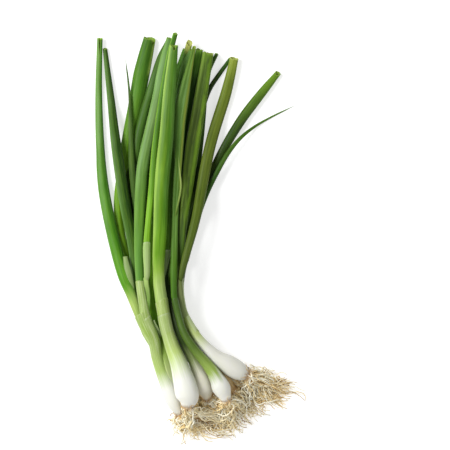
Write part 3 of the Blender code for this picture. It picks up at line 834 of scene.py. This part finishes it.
class Shader:
    """A Principled material being wired up."""

    def __init__(self, name):
        self.material = bpy.data.materials.new(name)
        self.material.use_nodes = True
        self.tree = self.material.node_tree
        self.tree.nodes.clear()

    def feed(self, socket, value):
        if isinstance(value, bpy.types.NodeSocket):
            self.tree.links.new(value, socket)
        else:
            socket.default_value = value

    def node(self, kind, values=(), **named):
        """A new node, with what goes into its first inputs and into those that are named."""
        node = self.tree.nodes.new("ShaderNode" + kind)
        for socket, value in zip(node.inputs, values):
            self.feed(socket, value)
        for name, value in named.items():
            self.feed(node.inputs[name.replace("_", " ")], value)
        return node

    def value(self, name):
        node = self.node("Attribute")
        node.attribute_name = name
        return node.outputs["Fac"]

    def noise(self, across, lengthwise, detail, roughness):
        """Noise in the piece's own millimetres, scaled one way round it and another way along it."""
        scales = (("gx", across), ("gy", across), ("gz", lengthwise))
        grain = self.node("CombineXYZ",
                          [self.math("MULTIPLY", self.value(name), scale) for name, scale in scales])
        return self.node("TexNoise", Vector=grain.outputs[0], Scale=1, Detail=detail,
                         Roughness=roughness).outputs["Fac"]

    def unsteady(self, noise, reach):
        """The distance along the piece, which a noise moves to and fro by its reach in mm."""
        wave = self.math("MULTIPLY", self.math("SUBTRACT", noise, 0.5), reach)
        return self.math("ADD", self.value("along"), wave)

    def math(self, operation, *values):
        node = self.node("Math", values)
        node.operation = operation
        return node.outputs[0]

    def fit(self, *values):
        """A value between two limits, as one between two other numbers, or between 0 and 1 without these."""
        node = self.node("MapRange", values)
        node.interpolation_type = "SMOOTHSTEP"
        return node.outputs[0]

    def ramp(self, value, *stops):
        node = self.node("ValToRGB", [value])
        band = node.color_ramp
        while len(band.elements) < len(stops):
            band.elements.new(0.5)
        for element, (place, colour) in zip(band.elements, stops):
            element.position, element.color = place, colour
        return node.outputs[0]

    def mix(self, value, first, second, blend="MIX"):
        node = self.node("Mix", Factor=value)
        node.data_type, node.blend_type = "RGBA", blend
        sockets = [socket for socket in node.inputs if socket.type == "RGBA"]
        self.feed(sockets[0], first)
        self.feed(sockets[1], second)
        return next(socket for socket in node.outputs if socket.type == "RGBA")

    def tint(self, value, colour, by):
        """A colour that is multiplied by another one as far as value says."""
        return self.mix(value, colour, self.mix(1, colour, by, "MULTIPLY"))

    def bump(self, height, distance, strength):
        return self.node("Bump", Height=height, Distance=distance, Strength=strength).outputs[0]

    def finish(self, **settings):
        surface = self.node("BsdfPrincipled", **settings)
        self.node("OutputMaterial", [surface.outputs[0]])
        return self.material


PALE_GREEN = (178, 200, 112)
WAX = (134, 172, 112)
SHEATH = (184, 198, 152)
CUT = (132, 166, 62)

# leaf or strip: (bloom, colour of its cut, and along it (distance from its base, or if below 0 from its tip,
# and red, green, blue))
LEAF_LOOKS = {
    "1_a": (0.35, CUT, (0, 150, 172, 90), (7, 84, 140, 36), (60, 96, 142, 46), (-70, 122, 154, 92),
        (-16, 116, 154, 88), (-1, 92, 138, 52)),
    "1_b": (0, CUT, (0, *PALE_GREEN), (36, 126, 176, 44), (66, 132, 186, 54), (92, 96, 146, 42),
        (130, 78, 128, 34), (-1, 70, 120, 32)),
    "1_c": (0.22, (140, 180, 60), (0, *PALE_GREEN), (30, *PALE_GREEN), (44, 94, 156, 30), (90, 82, 140, 32),
        (-60, 106, 150, 70), (-1, 110, 150, 74)),
    "2_a": (0.1, CUT, (0, 186, 206, 136), (16, 184, 206, 124), (28, 152, 188, 72), (42, 108, 158, 30),
        (84, 104, 150, 32), (108, 122, 164, 40), (134, 88, 130, 32), (-1, 90, 132, 42)),
    "2_b": (0.06, CUT, (0, 84, 128, 34), (30, 88, 134, 34), (70, 66, 110, 28), (-30, 70, 118, 34),
        (-8, 110, 156, 76), (-1, 116, 160, 76)),
    "3_a": (0.04, CUT, (0, 50, 86, 22), (60, 52, 92, 24), (-40, 56, 100, 26), (-14, 96, 150, 48),
        (-1, 104, 156, 56)),
    "3_b": (0.04, (192, 198, 110), (0, 66, 96, 28), (60, 66, 98, 28), (-10, 84, 128, 36),
        (-5, 186, 190, 96)),
    "4_a": (0.1, (140, 164, 60), (0, 66, 112, 20), (34, 76, 118, 28), (62, 96, 136, 58), (-90, 70, 108, 34),
        (-50, 84, 124, 50), (-1, 96, 128, 44)),
    "4_b": (0, CUT, (0, 118, 144, 60), (-1, 160, 176, 100)),
    "5_a": (0.02, (148, 168, 72), (0, 64, 92, 30), (56, 68, 98, 30), (76, 84, 112, 32), (108, 90, 116, 32),
        (130, 74, 98, 26), (150, 60, 78, 20), (-14, 74, 100, 26), (-1, 102, 138, 36)),
    "5_b": (0, (176, 188, 100), (0, 76, 92, 36), (60, 88, 106, 36), (-70, 98, 112, 40),
        (-18, 112, 128, 42), (-1, 142, 156, 60)),
    "6_a": (0.03, CUT, (0, 40, 72, 20), (80, 34, 64, 16), (-24, 48, 86, 22), (-8, 96, 148, 46),
        (-1, 116, 166, 60)),
    "6_b": (0.03, CUT, (0, 48, 80, 22), (80, 44, 78, 20), (-1, 52, 88, 24)),
    "7_a": (0.03, (140, 170, 70), (0, 38, 64, 18), (70, 22, 40, 12), (-56, 48, 76, 18), (-1, 104, 142, 30)),
    "7_b": (0.02, CUT, (0, 36, 62, 18), (110, 22, 40, 12), (-18, 34, 62, 16), (-1, 56, 100, 30)),
    "7_c": (0.03, CUT, (0, 48, 84, 22), (80, 50, 88, 22), (-1, 84, 122, 34)),
    "8_a": (0.08, CUT, (0, 76, 118, 30), (60, 60, 98, 24), (-60, 62, 98, 28), (-1, 72, 110, 34)),
    "8_b": (0.06, CUT, (0, 140, 160, 84), (46, 112, 158, 36), (90, 122, 170, 38), (-80, 100, 150, 32),
        (-40, 76, 126, 28), (-1, 64, 110, 26)),
    "8_c": (0.22, CUT, (0, 72, 106, 38), (60, 68, 98, 38), (-1, 70, 98, 44)),
    "8_d": (0.12, CUT, (0, 56, 90, 28), (90, 60, 98, 30), (-1, 70, 106, 38)),
    # strips
    "foot": (0, CUT, (0, 84, 128, 40), (10, 118, 156, 72), (30, 164, 190, 110)),
    "husk": (0, CUT, (0, 104, 140, 54), (30, 118, 146, 74)),
    # painted shade: the dark colour of the sheets laid in shaded gaps
    "deep": (0, CUT, (0, 30, 54, 14), (100, 34, 62, 14)),
    "mid": (0, CUT, (0, 124, 180, 44), (60, 118, 172, 40), (110, 54, 94, 22)),
    "low": (0, CUT, (0, 228, 230, 206), (12, 204, 212, 158), (24, 160, 184, 96), (36, 124, 158, 50)),
    "dry": (0, CUT, (0, 162, 176, 124), (16, 138, 150, 102), (30, 116, 126, 80), (42, 92, 106, 52),
        (50, 80, 96, 40)),
}
# leaf: the colour of its lighter line, on 5_a that of a painted highlight
STRIPE_AND_HIGHLIGHT_LOOKS = {"4_a": (126, 142, 52), "5_a": (146, 180, 74), "8_b": (164, 190, 92)}
# leaf: painted shade on its right side, and on 5_a a lighter green right side, as (where it begins
# and is full, from 0 at the left to 1, and red, green, blue)
RIGHT_SHADE_AND_TONE = {
    "1_c": (0.45, 0.85, 64, 122, 22), "2_a": (0.52, 0.76, 74, 122, 26), "5_a": (0.62, 0.84, 104, 138, 36),
    "8_a": (0.42, 0.7, 38, 72, 20)}
# leaf: the colour of a painted highlight along its left side, the side the key lamp lights
LEFT_HIGHLIGHTS = {"1_a": (134, 178, 90), "1_b": (156, 206, 70), "2_a": (190, 222, 116), "8_a": (120, 160, 92)}
BRUISED = ("5_a",)
RAMP_END = 300
# shank: (strength of its pale lines, gloss, and along it (distance, red, green, blue))
SHANK_LOOKS = {
    "1": (0.45, 0.26, (0, 232, 231, 220), (22, 232, 233, 224), (38, 172, 196, 108), (70, 150, 176, 82),
        (115, 134, 162, 66)),
    "2": (0.45, 0.26, (0, 232, 231, 220), (22, 234, 235, 226), (43, 178, 200, 112), (70, 156, 180, 86),
        (110, 146, 172, 74)),
    # painted shade: shank 3's dark green stops stand for the deep shade that it lies in beside shank 2
    "3": (0.03, 0.1, (0, 222, 219, 203), (20, 220, 217, 200), (34, 132, 146, 92), (48, 44, 62, 20),
        (115, 30, 50, 14)),
    "4": (0.07, 0.26, (0, 232, 231, 220), (16, 228, 229, 220), (26, 150, 174, 84), (50, 76, 104, 20),
        (95, 56, 90, 14)),
    "5": (0.45, 0.26, (0, 218, 217, 206), (38, 218, 218, 208), (52, 174, 190, 114), (66, 148, 170, 76),
        (90, 116, 140, 60)),
    "6": (0.03, 0.1, (0, 222, 219, 203), (20, 206, 200, 176), (44, 130, 140, 84), (95, 58, 86, 26)),
    "8": (0.45, 0.26, (0, 232, 231, 220), (26, 232, 230, 212), (46, 170, 182, 128), (60, 98, 138, 44),
        (95, 108, 144, 50)),
}
SHANK_LOOKS["7"] = SHANK_LOOKS["6"]
SHANK_RAMP_END = 130


def leaf_material(key):
    shader = Shader("leaf_" + key)
    bloom, cut, *stops = LEAF_LOOKS[key]
    length = LEAVES[key].length / MM if key in LEAVES else 0
    side, along = shader.value("side"), shader.value("along")
    streak = shader.noise(0.9, 0.012, 3, 0.6)
    fine = shader.noise(4, 0.05, 2, 0.5)
    patch = shader.noise(0.3, 0.045, 3, 0.55)
    place = shader.math("DIVIDE", shader.unsteady(streak, 16), RAMP_END)
    colour = shader.ramp(place, *(((mm if mm >= 0 else length + mm) / RAMP_END, rgb(*tone))
                                  for mm, *tone in stops))
    # painted shade on the leaf's right side (a lighter green one on 5_a)
    if key in RIGHT_SHADE_AND_TONE:
        begin, full, *tone = RIGHT_SHADE_AND_TONE[key]
        right = shader.math("MULTIPLY", shader.fit(side, begin, full), shader.fit(along, 45, 80))
        colour = shader.mix(right, colour, rgb(*tone))
    # painted highlight along the leaf's left side
    if key in LEFT_HIGHLIGHTS:
        colour = shader.mix(shader.fit(side, 0.3, 0.04, 0, 0.55), colour, rgb(*LEFT_HIGHLIGHTS[key]))
    colour = shader.tint(shader.fit(streak, 0.35, 0.65, 0.55, 0), colour, rgb(178, 196, 150))
    colour = shader.tint(shader.fit(patch, 0.35, 0.7, 0, 0.3), colour, rgb(156, 178, 124))
    colour = shader.mix(shader.fit(fine, 0.45, 0.75, 0, 0.16), colour, rgb(166, 196, 64))
    if key in BRUISED:
        bruise = shader.noise(0.35, 0.05, 4, 0.6)
        colour = shader.mix(shader.fit(bruise, 0.48, 0.66, 0, 0.7), colour, rgb(52, 68, 26))
    waxy = shader.fit(shader.noise(0.22, 0.02, 3, 0.5), 0.4, 0.62, 0, bloom)
    waxy = shader.math("MULTIPLY", waxy, shader.fit(along, 30, 110, 0.35, 1))
    colour = shader.mix(waxy, colour, rgb(*WAX))
    # lighter lines, on 5_a a painted highlight along its left edge
    if key in STRIPE_AND_HIGHLIGHT_LOOKS:
        colour = shader.mix(shader.value("stripe"), colour, rgb(*STRIPE_AND_HIGHLIGHT_LOOKS[key]))
    veins = shader.fit(shader.math("ADD", fine, streak), 0.8, 1.2, 0, 0.8)
    papery = shader.mix(veins, rgb(*SHEATH), rgb(130, 154, 90))
    colour = shader.mix(shader.math("MULTIPLY", shader.value("sheath"), 0.85), colour, papery)
    colour = shader.mix(shader.value("cut"), colour, rgb(*cut))
    return shader.finish(Base_Color=colour, Normal=shader.bump(fine, 0.12 * MM, 0.5),
                         Roughness=shader.fit(streak, 0.3, 0.7, 0.4, 0.54), Specular_IOR_Level=0.13)


def shank_material(number):
    shader = Shader(f"shank_{number}")
    lines, gloss, *stops = SHANK_LOOKS[number]
    streak = shader.noise(1.1, 0.02, 3, 0.6)
    fine = shader.noise(5, 0.05, 2, 0.5)
    place = shader.math("DIVIDE", shader.unsteady(streak, 20), SHANK_RAMP_END)
    colour = shader.ramp(place, *((mm / SHANK_RAMP_END, rgb(*tone)) for mm, *tone in stops))
    colour = shader.mix(shader.fit(shader.unsteady(fine, 5), -0.5, 2.5, 0.7, 0), colour, rgb(158, 124, 76))
    green = shader.fit(shader.value("along"), stops[1][0], stops[2][0] + 30)
    pale = shader.math("MULTIPLY", shader.fit(fine, 0.42, 0.66, 0, lines), green)
    colour = shader.mix(pale, colour, rgb(232, 238, 200))
    dark = shader.math("MULTIPLY", shader.fit(streak, 0.35, 0.6, 0.35, 0), green)
    colour = shader.tint(dark, colour, rgb(190, 215, 150))
    colour = shader.mix(shader.math("MULTIPLY", shader.value("sheath"), 0.6), colour, rgb(*SHEATH))
    return shader.finish(Base_Color=colour, Normal=shader.bump(fine, 0.1 * MM, 0.35), Roughness=0.36,
                         Specular_IOR_Level=gloss, Subsurface_Weight=0.12, Subsurface_Scale=1,
                         Subsurface_Radius=(4 * MM, 4 * MM, 2 * MM))


def root_material(number):
    shader = Shader(f"roots_{number}")
    blotch = shader.noise(1.5, 0.35, 3, 0.5)
    # the tone holds painted light: strands that lie higher in the pile are lighter
    colour = shader.ramp(shader.value("tone"), (0, rgb(160, 120, 64)), (0.3, rgb(236, 208, 146)),
                         (0.6, rgb(255, 240, 194)), (1, rgb(255, 252, 232)))
    colour = shader.mix(shader.fit(blotch, 0.45, 0.75, 0, 0.35), colour, rgb(190, 156, 98))
    colour = shader.mix(shader.fit(shader.value("along"), 1, 6, 0.65, 0), colour, rgb(180, 134, 74))
    return shader.finish(Base_Color=colour, Normal=shader.bump(blotch, 0.08 * MM, 0.5), Roughness=0.62)


# ---- the bunch

def place(piece, node, slot, material):
    piece.data.materials.append(material)
    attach(piece, BODY)
    if node:
        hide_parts(node)


for number, letters in LEAF_LETTERS.items():
    place(make_shank(number), f"onion_{number}_bulb", "shank", shank_material(number))
    place(make_roots(number), f"onion_{number}_roots", "root", root_material(number))
    for letter in letters:
        key = f"{number}_{letter}"
        place(make_leaf(key), f"onion_{number}_leaf_{letter}", "leaf", leaf_material(key))
for name, (_, _, _, looks, *_) in STRIPS.items():
    place(make_strip(name), None, "leaf", leaf_material(looks))


# ---- floor, lights and camera

FLOOR_HALF = 3              # half its side
FLOOR_GLOW = 0.6
WORLD_LIGHT = 0.3
WHITE = (1, 1, 1, 1)
LENS = 200                  # in mm
SENSOR = 36                 # in mm
CAMERA_RIGHT = 25.3 * MM    # of the middle of the bunch
CAMERA_UP = 10 * MM         # in the picture, from the middle of the bunch
CAMERA_HEIGHT = 2.015


def floor():
    mesh = bpy.data.meshes.new("floor")
    corners = [(x * FLOOR_HALF, y * FLOOR_HALF, 0) for x, y in ((-1, -1), (1, -1), (1, 1), (-1, 1))]
    mesh.from_pydata(corners, [], [(0, 1, 2, 3)])
    mesh.materials.append(Shader("pale_floor").finish(
        Base_Color=rgb(208, 208, 208), Roughness=0.9, Specular_IOR_Level=0, Emission_Color=WHITE,
        Emission_Strength=FLOOR_GLOW))
    link("floor", mesh)


def light(name, size, power, place):
    """A round lamp that shines at the origin."""
    data = bpy.data.lights.new(name, "AREA")
    data.shape, data.size, data.energy = "DISK", size, power
    lamp = link(name, data)
    lamp.location = place
    lamp.rotation_mode = "QUATERNION"
    lamp.rotation_quaternion = (-Vector(place)).to_track_quat("-Z", "Y")


def camera():
    """Looks straight down on the bunch."""
    middle = (CAD_BOX[0] + CAD_BOX[1]) / 2
    data = bpy.data.cameras.new("camera")
    data.lens, data.sensor_width = LENS, SENSOR
    made = link("camera", data)
    made.location = (middle.x + CAMERA_RIGHT, middle.y + CAMERA_UP, CAMERA_HEIGHT)
    bpy.context.scene.camera = made


floor()
light("key", size=0.8, power=23, place=(-0.95, 0.36, 1.10))
light("fill", size=1.6, power=6, place=(0.9, -0.75, 1.2))
camera()
world = bpy.data.worlds.new("soft_studio")
world.use_nodes = True
background = world.node_tree.nodes["Background"].inputs
background["Color"].default_value = WHITE
background["Strength"].default_value = WORLD_LIGHT
bpy.context.scene.world = world
bpy.context.scene.view_settings.view_transform = "Standard"
